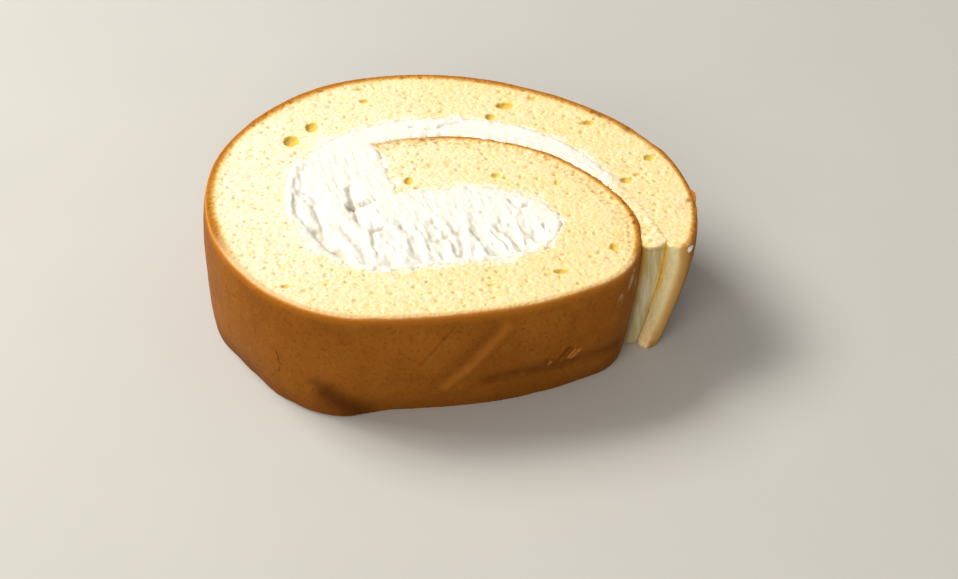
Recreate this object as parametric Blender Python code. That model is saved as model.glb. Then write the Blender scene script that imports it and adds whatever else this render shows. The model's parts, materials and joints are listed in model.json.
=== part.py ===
"""A slice of swiss roll cake, lying on its cut face: one rolled sheet of sponge and its cream filling.

The roll is drawn from above as two spirals about one centre: the sheet's browned skin outside, its crumb inside.
Each spiral is a list of radii, one for every STEP_DEG that the sheet rolls on, clockwise from its inner end.
The sponge fills the space between the two spirals, and the cream fills what is left between the turns.
Places on the wall are given as an angle of roll and a level, which is 0 at the foot and 1 at the upper cut face.
"""

import math

import bmesh
import bpy
from mathutils import Vector
from mathutils.geometry import delaunay_2d_cdt, intersect_point_line

MM = 0.001
THICKNESS = 24.5 * MM  # height of the slice, from cut face to cut face

# The two spirals, seen from above
ROLL_CENTRE = Vector((-5.0, -12.0)) * MM  # middle of the cream, which the sheet was rolled round
START_DEG = 112.5  # direction of the sheet's inner end, seen from the roll's centre
STEP_DEG = 22.5  # how far the sheet rolls on from one radius to the next
SKIN_MM = (
    30.6, 31.4, 33.1, 35.6, 38.7, 42.9, 43.6, 37.3, 33.4, 32.6, 35.7, 38.4,
    40.3, 43.4, 48.1, 53.0, 56.7, 56.8, 55.5, 55.5, 55.7, 54.8, 51.6,
)
CRUMB_MM = (
    10.8, 10.6, 12.0, 16.2, 22.2, 27.0, 25.6, 19.4, 16.2, 16.2, 18.9, 21.6,
    23.0, 26.0, 30.2, 34.5, 37.0, 38.2, 39.3, 40.5, 41.4, 45.6, 54.4,
)
CRUMB_START_DEG = -10.0  # the inner end is cut on a slant, so its crumb side starts this much earlier
TIP_START_DEG = 480.0  # where the outer end begins to round off, after one turn and a third
TIP_STEPS = 10
SAMPLE_DEG = 4.0  # spacing of the outline's points
GAP = 0.3 * MM  # between the sponge and the cream

# How the slice has settled
WALL_PROFILE = (  # level, and how far the wall stands out there as a share of its distance from the centre
    (0.0, -0.016), (0.07, -0.010), (0.16, -0.005), (0.33, 0.002), (0.5, 0.009),
    (0.65, 0.0145), (0.82, 0.0155), (0.94, 0.009), (1.0, 0.0),
)
LEAN = Vector((-1.2, 0.0)) * MM  # where the foot lies beside the upper face
FLAP_CURL = Vector((-3.4, -1.4)) * MM  # the foot of the outer end lies this much further on again
FLAP_X = (35.0 * MM, 48.0 * MM)  # the curl grows between these places
FLAP_Y = (6.0 * MM, -18.0 * MM)

# Folds in the skin: the angles of roll that each one fills at the foot, how softly it fades before and after them,
# how far it moves round from foot to top, its depth (or height, if negative), its strongest level and its reach.
FOLDS = (
    (156.0, 212.0, 22.0, 10.0, 39.0, 1.8 * MM, 0.0, 0.55),  # the foot is tucked in at the front
    (215.0, 215.0, 9.0, 6.0, 39.0, 0.7 * MM, 0.16, 0.35),  # dent beside the lobe that bulges over it
    (226.0, 234.0, 7.0, 12.0, 39.0, -1.0 * MM, 0.0, 0.45),  # that lobe
    (262.0, 270.0, 14.0, 14.0, 0.0, 1.0 * MM, 0.0, 0.4),  # flatter foot at the left
    (203.7, 203.7, 6.0, 6.0, -37.1, -0.6 * MM, 0.5, 0.45),  # slanting ridge
)

# Open bubbles in the upper cut face, in mm: the place of each one, its width along X and along Y
BUBBLES_MM = (
    (-33.5, 17.3, 3.5, 4.5), (-29.5, 22.8, 2.8, 4.0), (-18.8, 33.3, 2.3, 1.6), (11.5, 31.5, 4.0, 2.8),
    (17.5, 34.7, 2.5, 1.6), (29.2, 24.6, 2.8, 2.0), (41.5, 11.0, 2.3, 2.5), (36.2, 2.4, 2.6, 2.2),
    (-8.4, 2.2, 2.0, 3.0), (9.5, 4.3, 2.0, 2.0), (32.8, -21.5, 2.0, 2.7), (22.0, -29.8, 3.0, 1.7),
)
BUBBLE_DEPTH = 0.5  # depth of a bubble as a share of its mean width
BUBBLE_RINGS = ((1.0, 12), (0.85, 12), (0.5, 6), (0.0, 1))  # share of the radius, and points round it

# The cream's cut face
CREAM_SINK = 0.3 * MM  # the cream stands this much lower than the sponge's cut faces
CREAM_GRID = 1.6 * MM  # spacing of the points that shape its upper face
SMEAR_DEPTH = 0.8 * MM  # depth of the furrows that the knife dragged up
SMEAR_PITCH = 5.0 * MM  # from furrow to furrow
SMEAR_TURN_DEG = 118.0  # direction that the furrows run in
SMEAR_BACK_Y = (-8.0 * MM, -15.0 * MM)  # the furrows deepen between these places, from the back forwards
SCORES_MM = (  # deeper marks: from place to place, half width, depth
    (-20.0, -1.0, -17.0, -13.0, 0.9, 0.9), (-27.0, -5.0, -24.5, -19.0, 1.2, 0.8),
    (-31.8, 6.0, -31.8, -9.0, 1.4, 1.2), (-24.5, -18.5, -21.0, -23.5, 1.8, 0.9),
)


def blend(value, low, high):
    """0 at low, 1 at high, with a smooth course between them."""
    share = min(max((value - low) / (high - low), 0.0), 1.0)
    return share * share * (3.0 - 2.0 * share)


def between(values, place):
    """A smooth curve (Catmull-Rom) through evenly spaced values, read at a place counted in steps."""
    first = min(max(math.floor(place), 0), len(values) - 2)
    share = place - first
    before, after = values[first], values[first + 1]
    far_before = values[first - 1] if first else 2.0 * before - after
    far_after = values[first + 2] if first + 2 < len(values) else 2.0 * after - before
    leaving = (after - far_before) / 2.0
    arriving = (far_after - before) / 2.0
    bend = 3.0 * (after - before) - 2.0 * leaving - arriving
    twist = 2.0 * (before - after) + leaving + arriving
    return before + share * (leaving + share * (bend + share * twist))


def on_spiral(radius, rolled_deg):
    """The point at this radius when the sheet has rolled on by this angle from its inner end."""
    direction = math.radians(START_DEG - rolled_deg)
    return ROLL_CENTRE + radius * Vector((math.cos(direction), math.sin(direction)))


def radius_at(radii_mm, rolled_deg):
    return between(radii_mm, rolled_deg / STEP_DEG) * MM


def side(radii_mm, offset, first_deg, last_deg):
    """Points along a spiral, moved out by offset. All lie at whole steps of SAMPLE_DEG but the first and last."""
    low, high = sorted((first_deg, last_deg))
    whole = range(math.floor(low / SAMPLE_DEG) + 1, math.ceil(high / SAMPLE_DEG))
    angles = [low, *(step * SAMPLE_DEG for step in whole), high]
    if first_deg > last_deg:
        angles.reverse()
    return [on_spiral(radius_at(radii_mm, angle) + offset, angle) for angle in angles]


def tip(outer, inner):
    """Points of a half circle round the end of the sheet or the cream, from its outer radius to its inner one."""
    middle = (outer + inner) / 2.0
    half = (outer - inner) / 2.0
    points = []
    for step in range(1, TIP_STEPS):
        turn = math.pi * step / TIP_STEPS
        drift = math.degrees(half * math.sin(turn) / middle)
        points.append(on_spiral(middle + half * math.cos(turn), TIP_START_DEG + drift))
    return points


def sponge_outline():
    """The sheet: along its skin to the outer end, round the end, and back along its crumb side."""
    end = tip(radius_at(SKIN_MM, TIP_START_DEG), radius_at(CRUMB_MM, TIP_START_DEG))
    skin = side(SKIN_MM, 0.0, 0.0, TIP_START_DEG)
    crumb = side(CRUMB_MM, 0.0, TIP_START_DEG, CRUMB_START_DEG)
    return skin + end + crumb


def cream_outline():
    """The cream: along the sheet's crumb side to the outer end, and back along the skin of the turn inside."""
    outer = radius_at(CRUMB_MM, TIP_START_DEG) - GAP
    inner = radius_at(SKIN_MM, TIP_START_DEG - 360.0) + GAP
    crumb_start = CRUMB_START_DEG - math.degrees(GAP / radius_at(CRUMB_MM, CRUMB_START_DEG))
    skin_start = -math.degrees(GAP / radius_at(SKIN_MM, 0.0))
    crumb = side(CRUMB_MM, -GAP, crumb_start, TIP_START_DEG)
    skin = side(SKIN_MM, GAP, TIP_START_DEG - 360.0, skin_start)
    return crumb + tip(outer, inner) + skin


def stand_out(level):
    """How far the wall stands out at this level, as a share of its distance from the roll's centre."""
    for (low, low_out), (high, high_out) in zip(WALL_PROFILE, WALL_PROFILE[1:]):
        if level <= high:
            return low_out + (high_out - low_out) * (level - low) / (high - low)
    return WALL_PROFILE[-1][1]


def fold_depth(rolled_deg, level):
    """How far the folds press the outermost skin in at this place on the wall."""
    depth = 0.0
    for first, last, soft_before, soft_after, drift, deepest, strongest, reach in FOLDS:
        place = rolled_deg - drift * level
        share = blend(place, first - soft_before, first) * blend(place, last + soft_after, last)
        depth += deepest * share * blend(abs(level - strongest), reach, 0.0)
    return depth


def settled(point):
    """Where a point of the straight-walled roll lies once the slice has slumped and its outer end has curled."""
    level = point.z / THICKNESS
    arm = point.xy - ROLL_CENTRE
    rolled_deg = (START_DEG - math.degrees(math.atan2(arm.y, arm.x))) % 360.0
    skin = radius_at(SKIN_MM, rolled_deg)
    fold = fold_depth(rolled_deg, level) * blend(arm.length, 0.75 * skin, skin)
    plan = ROLL_CENTRE + arm * (1.0 + stand_out(level) - fold / arm.length)
    curl = FLAP_CURL * blend(point.x, *FLAP_X) * blend(point.y, *FLAP_Y)
    plan += (1.0 - level) * (LEAN + curl)
    return Vector((*plan, point.z))


def bubble_share(point, bubble_mm):
    """How far a point is from a bubble's middle: 0 there, 1 at its rim."""
    x, y, wide, deep = (size * MM for size in bubble_mm)
    return math.hypot((point.x - x) / (wide / 2.0), (point.y - y) / (deep / 2.0))


def bubble_points():
    """Points in rings over every bubble, seen from above."""
    points = []
    for x, y, wide, deep in BUBBLES_MM:
        for share, count in BUBBLE_RINGS:
            for step in range(count):
                turn = math.tau * step / count
                across, along = share * wide / 2.0 * math.cos(turn), share * deep / 2.0 * math.sin(turn)
                points.append(Vector((x + across, y + along)) * MM)
    return points


def pitted(point):
    """How far the bubbles lower the sponge's upper face at this point."""
    depth = 0.0
    for bubble in BUBBLES_MM:
        share = min(bubble_share(point, bubble), 1.0)
        depth = max(depth, BUBBLE_DEPTH * (bubble[2] + bubble[3]) / 2.0 * MM * math.sqrt(1.0 - share * share))
    return depth


def smeared(point):
    """How far the knife's furrows and the deeper marks lower the cream's upper face at this point."""
    turn = math.radians(SMEAR_TURN_DEG)
    across = point.x * math.sin(turn) - point.y * math.cos(turn)
    along = point.x * math.cos(turn) + point.y * math.sin(turn)
    wander = 1.5 * MM * math.sin(along / (5.0 * MM))
    furrow = (1.0 - math.sin(math.tau * (across + wander) / SMEAR_PITCH)) / 2.0
    depth = SMEAR_DEPTH * furrow * blend(point.y, *SMEAR_BACK_Y)
    for start_x, start_y, end_x, end_y, half_width, deepest in SCORES_MM:
        start, end = Vector((start_x, start_y)) * MM, Vector((end_x, end_y)) * MM
        off = distance_to_line(point.xy, start, end) / (half_width * MM)
        depth = max(depth, deepest * MM * math.exp(-off * off))
    return depth


def distance_to_line(point, start, end):
    """Distance from a point to the nearest place on the line between start and end."""
    nearest, share = intersect_point_line(point, start, end)
    if share < 0.0:
        nearest = start
    elif share > 1.0:
        nearest = end
    return (nearest - point).length


def grid_points(outline, spacing):
    """Points in staggered rows all over the outline's inside, clear of the outline itself."""
    left, right = min(p.x for p in outline), max(p.x for p in outline)
    front, back = min(p.y for p in outline), max(p.y for p in outline)
    lines = list(zip(outline, outline[1:] + outline[:1]))
    points = []
    for row in range(int((back - front) / spacing) + 1):
        shift = spacing * (row % 2) / 2.0
        for column in range(int((right - left) / spacing) + 1):
            point = Vector((left + shift + column * spacing, front + row * spacing))
            if min(distance_to_line(point, *line) for line in lines) > 0.6 * spacing:
                points.append(point)
    return points


def slab(outline, inner_points, low, high):
    """A straight-walled solid on this outline. Its wall has a ring of points at every level of the profile, and
    its upper face passes through the inner points too."""
    inner_heights = [level * THICKNESS for level, _ in WALL_PROFILE if low < level * THICKNESS < high]
    made = bmesh.new()
    rings = [[made.verts.new((p.x, p.y, z)) for p in outline] for z in (low, *inner_heights, high)]
    for lower, upper in zip(rings, rings[1:]):
        for place in range(len(outline)):
            made.faces.new((lower[place - 1], lower[place], upper[place], upper[place - 1]))
    made.faces.new(rings[0])
    top = rings[-1] + [made.verts.new((p.x, p.y, high)) for p in inner_points]
    rim = list(range(len(outline)))
    corners = delaunay_2d_cdt([*outline, *inner_points], [], [rim], 1, 1e-7)[2]
    for face in corners:
        made.faces.new([top[corner] for corner in face])
    loose = [vertex for vertex in made.verts if not vertex.link_faces]
    bmesh.ops.delete(made, geom=loose, context="VERTS")
    bmesh.ops.recalc_face_normals(made, faces=made.faces)
    return made


def settle(made, relief):
    """Lowers the upper face by its relief, and moves every point to where it lies in the settled slice."""
    top = max(vertex.co.z for vertex in made.verts)
    for vertex in made.verts:
        sunk = relief(vertex.co) if vertex.co.z == top else 0.0
        vertex.co = settled(vertex.co)
        vertex.co.z -= sunk


def material(name, colour, roughness):
    made = bpy.data.materials.new(name)
    made.use_nodes = True
    shader = made.node_tree.nodes["Principled BSDF"]
    shader.inputs["Base Color"].default_value = (*colour, 1.0)
    shader.inputs["Roughness"].default_value = roughness
    return made


def finish(name, made, look):
    """Turns a bmesh into a named object with its own material."""
    bmesh.ops.triangulate(made, faces=made.faces)
    mesh = bpy.data.meshes.new(name)
    made.to_mesh(mesh)
    made.free()
    mesh.materials.append(look)
    mesh.shade_smooth()
    mesh.set_sharp_from_angle(angle=math.radians(40.0))
    bpy.context.scene.collection.objects.link(bpy.data.objects.new(name, mesh))


def sponge():
    made = slab(sponge_outline(), bubble_points(), 0.0, THICKNESS)
    settle(made, pitted)
    finish("sponge", made, material("sponge", (0.86, 0.66, 0.34), 0.85))


def cream():
    outline = cream_outline()
    made = slab(outline, grid_points(outline, CREAM_GRID), CREAM_SINK, THICKNESS - CREAM_SINK)
    settle(made, smeared)
    finish("cream", made, material("cream", (0.93, 0.90, 0.82), 0.45))


def centre():
    """Moves the slice so that the middle of its box stands over the origin."""
    corners = [vertex.co for made in bpy.data.objects for vertex in made.data.vertices]
    middle_x = (min(c.x for c in corners) + max(c.x for c in corners)) / 2.0
    middle_y = (min(c.y for c in corners) + max(c.y for c in corners)) / 2.0
    for made in bpy.data.objects:
        for vertex in made.data.vertices:
            vertex.co -= Vector((middle_x, middle_y, 0.0))


for leftover in list(bpy.data.objects):
    bpy.data.objects.remove(leftover)
sponge()
cream()
centre()
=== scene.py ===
"""Swiss roll slice: the baked look of the rolled sponge and its cream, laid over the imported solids."""

import json
import math

import bpy
import numpy as np
from mathutils import Matrix, Vector, noise
from mathutils.bvhtree import BVHTree

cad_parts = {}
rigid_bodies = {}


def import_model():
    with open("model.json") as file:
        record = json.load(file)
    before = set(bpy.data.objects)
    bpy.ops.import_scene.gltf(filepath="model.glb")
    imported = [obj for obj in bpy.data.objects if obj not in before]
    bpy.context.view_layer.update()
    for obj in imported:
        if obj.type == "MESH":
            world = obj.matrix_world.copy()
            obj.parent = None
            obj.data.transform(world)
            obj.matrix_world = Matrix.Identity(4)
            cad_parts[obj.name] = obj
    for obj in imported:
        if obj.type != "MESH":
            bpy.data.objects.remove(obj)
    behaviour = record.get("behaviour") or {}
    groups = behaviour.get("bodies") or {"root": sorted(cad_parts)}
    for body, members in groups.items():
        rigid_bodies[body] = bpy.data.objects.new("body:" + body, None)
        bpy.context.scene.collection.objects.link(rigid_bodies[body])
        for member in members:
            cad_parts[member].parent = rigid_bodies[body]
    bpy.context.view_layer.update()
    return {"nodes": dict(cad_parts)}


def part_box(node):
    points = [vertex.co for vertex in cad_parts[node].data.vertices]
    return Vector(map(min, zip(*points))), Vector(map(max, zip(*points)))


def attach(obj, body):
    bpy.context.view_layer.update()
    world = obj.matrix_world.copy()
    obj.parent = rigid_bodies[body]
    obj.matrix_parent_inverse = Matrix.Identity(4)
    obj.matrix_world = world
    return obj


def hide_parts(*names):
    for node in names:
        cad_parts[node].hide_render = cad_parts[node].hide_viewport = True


MM = 0.001
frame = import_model()
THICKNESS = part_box("sponge")[1][2]
HIGHEST = 1.025 * THICKNESS
ROLL_CENTRE = Vector((-4.66, -11.91, 0.0)) * MM  # middle of the cream, which the sheet is rolled round
START_DEG = 112.5  # direction of the sheet's inner end, seen from there
FAR_OFF = 1.0  # metres, well outside the roll: its outer skin is looked for from there

GRAIN = 0.32 * MM  # size of the faces that carry the crumb and the cream
MOST_FACES = 190000  # triangles in one piece

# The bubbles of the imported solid, in mm: the middle of each one and its width along X and along Y
SOLID_BUBBLES_MM = (
    (-33.2, 17.4, 3.5, 4.5), (-29.2, 22.9, 2.8, 4.0), (-18.5, 33.4, 2.3, 1.6), (11.8, 31.6, 4.0, 2.8),
    (17.8, 34.8, 2.5, 1.6), (29.5, 24.7, 2.8, 2.0), (41.8, 11.1, 2.3, 2.5), (36.5, 2.5, 2.6, 2.2),
    (-8.1, 2.3, 2.0, 3.0), (9.8, 4.4, 2.0, 2.0), (33.1, -21.4, 2.0, 2.7), (22.3, -29.7, 3.0, 1.7),
)
# More bubbles, the same way
BUBBLES_MM = (
    (-19.7, 38.4, 2.0, 1.3), (8.8, 27.1, 2.2, 2.6), (38.8, 4.6, 1.4, 1.3), (36.3, 6.1, 1.0, 0.9),
    (-6.4, -0.7, 1.3, 1.5), (-7.4, 9.4, 1.1, 1.0), (-12.4, 11.7, 0.9, 0.9), (22.3, 1.6, 1.1, 1.9),
    (19.3, -28.9, 1.1, 0.9), (22.8, -26.4, 0.9, 0.8), (19.8, -30.7, 1.3, 0.9), (8.6, -34.2, 1.4, 1.1),
    (-31.2, -34.7, 2.0, 1.2), (-38.7, 22.9, 0.9, 0.8), (4.0, -30.4, 0.8, 0.7), (-3.2, -36.9, 0.9, 0.8),
)

# Marks in the cream's upper face, in mm: half width, depth (or height, if negative), and places passed
CREAM_MARKS_MM = (
    (1.3, -0.8, ((-31.4, 6.0), (-31.8, -9.0))),
    (0.5, 0.45, (
        (-30.4, 7.6), (-31.6, 3.2), (-32.0, -1.8), (-31.2, -6.6), (-30.2, -10.2), (-29.0, -13.2),
    )),
    (0.5, 0.75, ((-20.6, -0.6), (-19.7, -4.2), (-18.5, -9.1), (-16.8, -13.8))),
    (0.5, 0.6, ((-27.1, -6.6), (-26.0, -10.8), (-25.3, -13.8), (-24.3, -17.3))),
    (1.3, 0.75, ((-26.0, -16.2), (-24.6, -19.1), (-22.1, -21.9), (-19.7, -24.2))),
    (0.5, 0.68, ((-28.9, -1.9), (-27.2, -3.5))),
    (0.7, 0.83, ((-21.9, -22.3), (-20.3, -23.4))),
    (0.5, 0.68, ((-12.6, -14.2), (-14.2, -15.4), (-14.7, -16.7), (-14.1, -21.4), (-13.1, -24.8))),
    (1.2, -0.5, ((-12.5, -13.2), (-9.8, -15.0), (-8.0, -19.6), (-6.9, -25.4))),
    (0.9, 0.68, ((-8.8, -14.4), (-8.3, -15.0))),
    (0.9, 0.6, ((-2.5, -12.6), (-1.6, -14.2))),
    (0.8, 0.68, ((2.5, -15.6), (3.0, -16.2))),
    (0.8, 0.6, ((5.5, -15.6), (7.5, -17.9))),
    (0.8, 0.6, ((0.2, -17.3), (-3.4, -19.1))),
    (0.45, 0.98, ((12.5, -4.5), (13.6, -6.3), (15.0, -7.6), (16.5, -6.9))),
    (0.4, 0.83, ((19.6, -13.5), (20.5, -15.3))),
    (0.35, 0.6, ((6.6, -8.5), (6.8, -8.6))),
    (0.5, 0.52, ((10.2, -13.8), (13.2, -17.3), (14.8, -20.2))),
    (0.5, 0.45, ((9.2, -15.6), (11.8, -20.2), (13.4, -23.1))),
    (0.5, 0.45, ((12.6, -13.2), (15.8, -19.6))),
    (0.5, 0.52, ((-8.3, 23.4), (-7.6, 23.5))),
    (0.5, 0.45, ((-4.4, 22.3), (-3.8, 22.5))),
    (0.4, 0.52, ((-2.2, 23.0), (0.2, 23.7), (2.3, 24.7))),
)

# Marks in the outer skin: half width and depth in mm, how dark the mark is, and the places it passes,
# each as the angle that the sheet has rolled on by and the level, 0 at the foot and 1 at the cut
# The ridge's colour is a painted highlight along it
SKIN_RIDGE = (1.1, -0.40, 0.42, ((173.6, 0.83), (179.5, 0.67), (186.2, 0.47), (194.4, 0.25)))
# The wide marks, beside the ridge, in the crease above the foot and along the dent, are painted shade;
# the narrow ones are cracks, slits and a fine line
SKIN_MARKS = (
    (0.28, 0.12, 0.35, ((191.3, 0.88), (194.0, 0.80), (197.0, 0.71), (200.4, 0.61), (203.2, 0.52))),
    (1.8, 0.10, 0.22, ((177.5, 0.83), (183.5, 0.67), (190.2, 0.47), (198.4, 0.25))),
    (0.17, 0.12, 0.9, ((249.2, 0.48), (248.7, 0.45), (248.4, 0.43), (248.6, 0.40), (247.8, 0.37))),
    (0.17, 0.12, 0.8, ((248.2, 0.34), (248.5, 0.29))),
    (0.15, 0.10, 0.5, ((250.6, 0.24), (251.9, 0.19))),
    (1.8, 0.45, 0.45, ((178.3, 0.27), (166.8, 0.29), (158.1, 0.28), (147.0, 0.29), (135.7, 0.25))),
    (1.5, 0.2, 0.45, ((236.0, 0.30), (233.5, 0.26), (228.0, 0.15), (223.0, 0.04))),
    (2.6, 0.25, 0.8, ((233.0, 0.22), (228.0, 0.12), (222.0, 0.02))),
    (0.55, 0.6, 1.0, ((153.4, 0.445), (154.4, 0.405), (155.6, 0.355))),
    (0.30, 0.25, 0.7, ((160.3, 0.39), (159.7, 0.33))),
)
# Dark spots burnt into the skin, in mm: place and radius of each
SPOTS_MM = (
    (30.6, 28.6, 1.0), (31.8, 27.6, 0.8), (5.8, 40.9, 0.9), (6.9, 40.6, 0.6), (-4.6, 16.9, 1.0),
    (-5.6, 17.7, 0.7), (-3.4, 17.9, 0.6), (48.6, -4.8, 0.9), (49.0, -7.7, 0.8), (37.9, 22.5, 0.5),
    (36.0, -5.9, 0.7), (37.1, -10.2, 0.6), (37.6, -12.9, 0.6),
)
# Thin smudges of cream on the skin, written as SKIN_MARKS are
SKIN_SMUDGES = (
    (0.55, 0.0, 0.9, ((132.7, 0.92), (135.0, 0.82))),
    (0.45, 0.0, 0.6, ((138.6, 0.79), (139.0, 0.72))),
    (0.40, 0.0, 0.5, ((130.5, 0.80), (130.9, 0.74))),
)
# Where each of these begins and where it is reached in full, along X and then along Y
TAIL = ((39.0 * MM, 43.0 * MM), (4.0 * MM, -8.0 * MM))  # the outer end of the sheet
SHEET_END = ((39.0 * MM, 43.0 * MM), (-19.0 * MM, -22.4 * MM))  # its last millimetres, hardly browned
STRIP_END = ((31.0 * MM, 36.5 * MM), (8.0 * MM, 0.0 * MM))  # where the cream beside it is full of crumbs
# Chips of loose skin: width, height and lift in mm, turn, and place as in SKIN_MARKS
CHIPS = (
    (2.0, 2.8, 0.6, -38.0, 152.2, 0.385),
    (0.9, 1.1, 0.45, -20.0, 158.9, 0.345),
    (0.8, 1.2, 0.25, -35.0, 150.3, 0.40),
)
# Flakes of skin that curl up at the rim: width, length and lift in mm, turn, and angle of roll
FLAKES = ((1.6, 4.6, 1.2, -88.0, 103.6), (1.2, 2.6, 0.9, -97.0, 108.6))
# A dab of cream beside the rim: width, height and thickness in mm, turn, and place as in SKIN_MARKS
DAB = (1.7, 1.2, 0.5, 15.0, 121.8, 0.955)

# How the pieces are shaped
SHARP_DEG = 38.0  # an edge that turns by more than this stays sharp when the solid is rounded
TRUNK_HEIGHT = 21.0 * MM  # below all the bubbles
TRUNK_DRIFT = 1.6 * MM  # how far a wall moves sideways above that height
BUBBLE_SINK = 0.6  # depth of a bubble as a share of its width
BUBBLE_REACH = 3.5 * MM  # no bubble goes down further than this
BUBBLE_RISE = 0.42  # share of its depth that every bubble then loses
DRAG_DEG = -74.0  # direction in which the knife dragged the cream, from X towards Y
SKIN_THICKNESS = 0.28 * MM  # of a loose chip
RIM_LEVEL = 0.975  # level at which the flakes leave the wall

# Colours of the sponge and the cream
# The first crumb colour is also painted lamplight, on the crumb nearest the lamp on the left
PALE_AND_LAMPLIT_CRUMB = (0.93, 0.80, 0.595)
WARM_CRUMB = (0.92, 0.70, 0.38)
# The next colour is the crumb's pores and also the painted shade in its pits
PORE_AND_PAINTED_PIT_SHADE = (0.86, 0.62, 0.21)
DEEP_PORE = (0.74, 0.50, 0.14)
TORN_PORE = (0.60, 0.37, 0.11)
PAINTED_BUBBLE_GLOW = (0.72, 0.50, 0.10)
STAINED_CRUMB = (0.86, 0.62, 0.27)
SMOOTH_CUT = (0.67, 0.61, 0.345)
SHADED_CUT = (0.42, 0.35, 0.17)
PAINTED_GOLDEN_GROOVE_GLOW = (0.78, 0.50, 0.07)
WHITE_CREAM = (0.86, 0.84, 0.77)
SOFT_CREAM = (0.83, 0.805, 0.72)
PAINTED_SHADE_IN_CREAM_HOLLOWS = (0.77, 0.72, 0.61)
SPREAD_CREAM = (0.93, 0.90, 0.80)
CRUMBED_CREAM_IN_PAINTED_SHADE = (0.42, 0.34, 0.13)
# Colours of the browned skin
BAKED = (0.29, 0.10, 0.011)
WELL_BAKED = (0.24, 0.077, 0.007)
# The next colour is both the dark freckles and the painted shade at the foot
DARK_BAKED_AND_FOOT_SHADE = (0.13, 0.036, 0.003)
GOLDEN_BAKED = (0.40, 0.16, 0.02)
SKIN_NEAR_CUT = (0.43, 0.145, 0.013)
SKIN_AT_CUT = (0.62, 0.265, 0.045)
CRACK_AND_PAINTED_SHADE = (0.06, 0.015, 0.002)
# The next colour is a painted highlight along the ridge
PAINTED_RIDGE_HIGHLIGHT = (0.44, 0.165, 0.02)
SMUDGED_SKIN = (0.62, 0.45, 0.30)
UNBROWNED_SKIN = (0.64, 0.39, 0.12)
BURNT_SPECK = (0.17, 0.05, 0.008)
BURNT_SPOT = (0.20, 0.065, 0.012)
LOOSE_SKIN = (0.36, 0.12, 0.010)
TORN_SKIN = (0.44, 0.17, 0.02)
# The browned rim from the skin inwards: place as a share of RIM_WIDTH_MM, and colour
RIM_WIDTH_MM = 1.6
RIM_COLOURS = (
    (0.24, (0.39, 0.145, 0.016)),
    (0.48, (0.55, 0.265, 0.052)),
    (0.78, (0.79, 0.54, 0.21)),
)

# The room: name of each light, its place and width in metres, power in watts, and colour
LIGHTS = (
    ("window", (-0.95, 0.75, 1.2), 0.7, 23.5, (1.0, 0.97, 0.91)),
    ("lamp", (-0.34, 0.08, 0.38), 0.15, 1.0, (1.0, 0.97, 0.90)),
    ("fill", (-0.3, -1.0, 0.55), 0.9, 7.6, (1.0, 0.94, 0.86)),
)
ROOM_COLOUR = (1.0, 0.97, 0.92, 1.0)
ROOM_STRENGTH = 0.3
BOARD_TONES = ((0.50, 0.49, 0.465), (0.53, 0.52, 0.495))
BOARD_SIZE = 3.0
CAMERA_PLACE = (0.00634, -0.41845, 0.30252)
CAMERA_TILT_DEG = 54.0  # up from straight down
CAMERA_LENS_MM = 92.07


# Working on a piece

def select_only(*pieces):
    for piece in bpy.data.objects:
        piece.select_set(piece in pieces)
    bpy.context.view_layer.objects.active = pieces[0]


def apply_modifier(piece, kind, **settings):
    """Adds a modifier to the piece and applies it."""
    select_only(piece)
    modifier = piece.modifiers.new(kind, kind)
    for name, value in settings.items():
        setattr(modifier, name, value)
    bpy.ops.object.modifier_apply(modifier=modifier.name)


def copy_of(node, name):
    """A copy of a solid with its own merged mesh, ready to be worked on."""
    piece = frame["nodes"][node].copy()
    piece.data = piece.data.copy()
    piece.parent = None
    piece.name = piece.data.name = name
    for key in list(piece.keys()):
        del piece[key]
    bpy.context.scene.collection.objects.link(piece)
    select_only(piece)
    bpy.ops.object.mode_set(mode="EDIT")
    bpy.ops.mesh.select_all(action="SELECT")
    bpy.ops.mesh.remove_doubles(threshold=1e-6)
    bpy.ops.object.mode_set(mode="OBJECT")
    piece.data.materials.clear()
    return piece


def crease_rims(piece, angle_deg):
    """Marks the edges that stay sharp when the faces between them are rounded."""
    select_only(piece)
    bpy.ops.object.mode_set(mode="EDIT")
    bpy.ops.mesh.select_mode(type="EDGE")
    bpy.ops.mesh.select_all(action="DESELECT")
    bpy.ops.mesh.edges_select_sharp(sharpness=math.radians(angle_deg))
    bpy.ops.transform.edge_crease(value=1.0)
    bpy.ops.object.mode_set(mode="OBJECT")


def thin_out(piece):
    """Merges the smallest faces where the surface is plain until the piece is light enough."""
    triangles = sum(len(face.vertices) - 2 for face in piece.data.polygons)
    if triangles > MOST_FACES:
        apply_modifier(piece, "DECIMATE", ratio=MOST_FACES / triangles)


def blend(value, low, high):
    """0 at low, 1 at high, with a smooth course between them. Takes a number or a whole row of them."""
    share = np.clip((value - low) / (high - low), 0.0, 1.0)
    return share * share * (3.0 - 2.0 * share)


def points_of(piece, what="co"):
    """Every point of the piece, or its normal, as rows of three numbers."""
    rows = np.empty(len(piece.data.vertices) * 3)
    piece.data.vertices.foreach_get(what, rows)
    return rows.reshape(-1, 3)


def put_points(piece, rows):
    piece.data.vertices.foreach_set("co", rows.ravel())
    piece.data.update()


def keep_within(piece):
    """Nothing goes below the floor, or more than a little above the cut."""
    points = points_of(piece)
    points[:, 2] = np.clip(points[:, 2], 0.0, HIGHEST)
    put_points(piece, points)


def group_of(piece, name, weights):
    """A vertex group that holds every point by its weight."""
    group = piece.vertex_groups.new(name=name)
    for index in np.flatnonzero(weights > 0.0).tolist():
        group.add([index], float(weights[index]), "REPLACE")
    return name


def record(piece, name, values):
    """Stores a measure of every point of the piece for its material to read."""
    stored = piece.data.attributes.new(name, "FLOAT", "POINT")
    stored.data.foreach_set("value", np.asarray(values, dtype=np.float32))


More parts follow.
